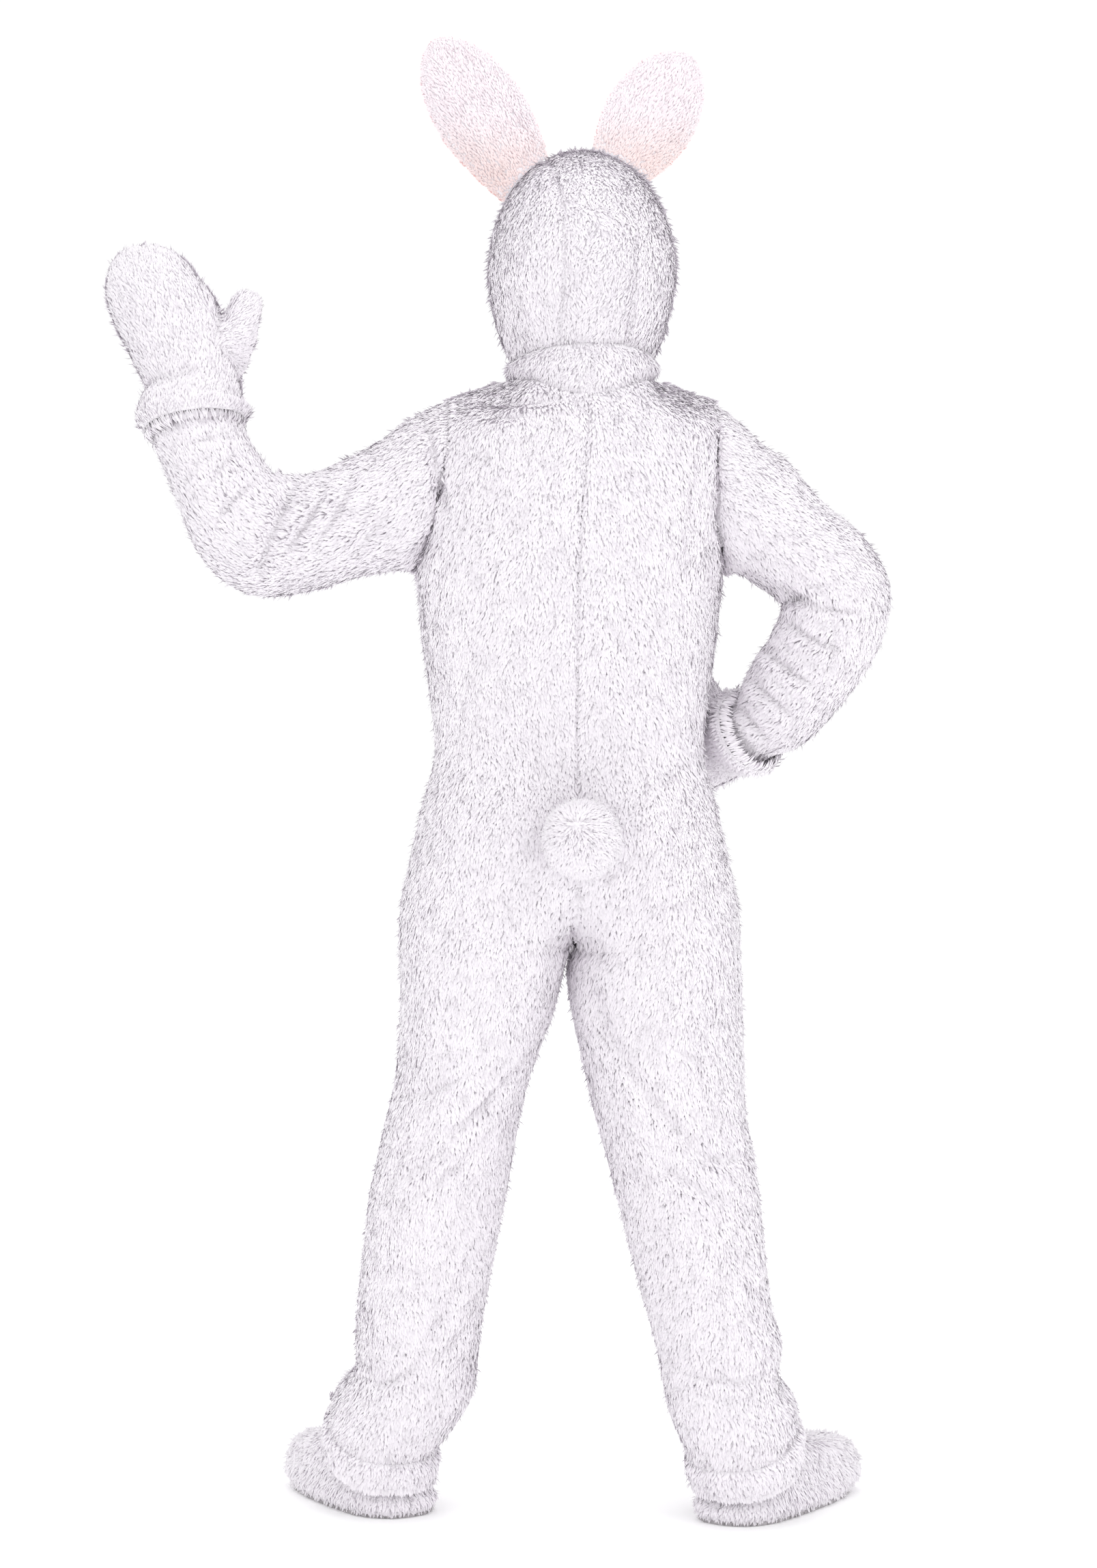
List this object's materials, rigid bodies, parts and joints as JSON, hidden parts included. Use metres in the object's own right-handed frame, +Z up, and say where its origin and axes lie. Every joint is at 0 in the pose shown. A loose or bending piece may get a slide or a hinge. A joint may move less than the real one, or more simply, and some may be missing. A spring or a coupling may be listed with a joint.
{
  "type": "bunny costume",
  "caption": "Hooded one-piece plush bunny suit with ears, tail, mittens and shoe covers, worn open as a hollow shell.",
  "frame": {"origin": "middle of the shoulder line at the neck, where the wearer carries the suit", "axes": "+Z up, +X to the wearer's left, and the front faces -Y"},
  "size_m": [0.7961, 0.3793, 1.4978],
  "materials": {
    "white_fur": "matte",
    "pink_fur": "matte",
    "grey_sole": "matte",
    "white_tape": "matte"
  },
  "bodies": {
    "root": {"hood_side_left": "white_fur", "hood_side_right": "white_fur", "hood_gusset": "white_fur", "collar": "white_fur", "ear_left_back": "white_fur", "ear_left_front": "pink_fur", "ear_right_back": "white_fur", "ear_right_front": "pink_fur", "back_left": "white_fur", "back_right": "white_fur", "front_left": "white_fur", "front_right": "white_fur", "back_zip_tape": "white_tape", "sleeve_left": "white_fur", "sleeve_right": "white_fur", "ankle_band_left": "white_fur", "ankle_band_right": "white_fur", "tail": "white_fur", "mitten_left_back": "white_fur", "mitten_left_palm": "white_fur", "mitten_left_thumb": "white_fur", "mitten_right_back": "white_fur", "mitten_right_palm": "white_fur", "mitten_right_thumb": "white_fur", "shoe_left_outer": "white_fur", "shoe_left_inner": "white_fur", "shoe_left_sole": "grey_sole", "shoe_right_outer": "white_fur", "shoe_right_inner": "white_fur", "shoe_right_sole": "grey_sole"}
  },
  "joints": []
}
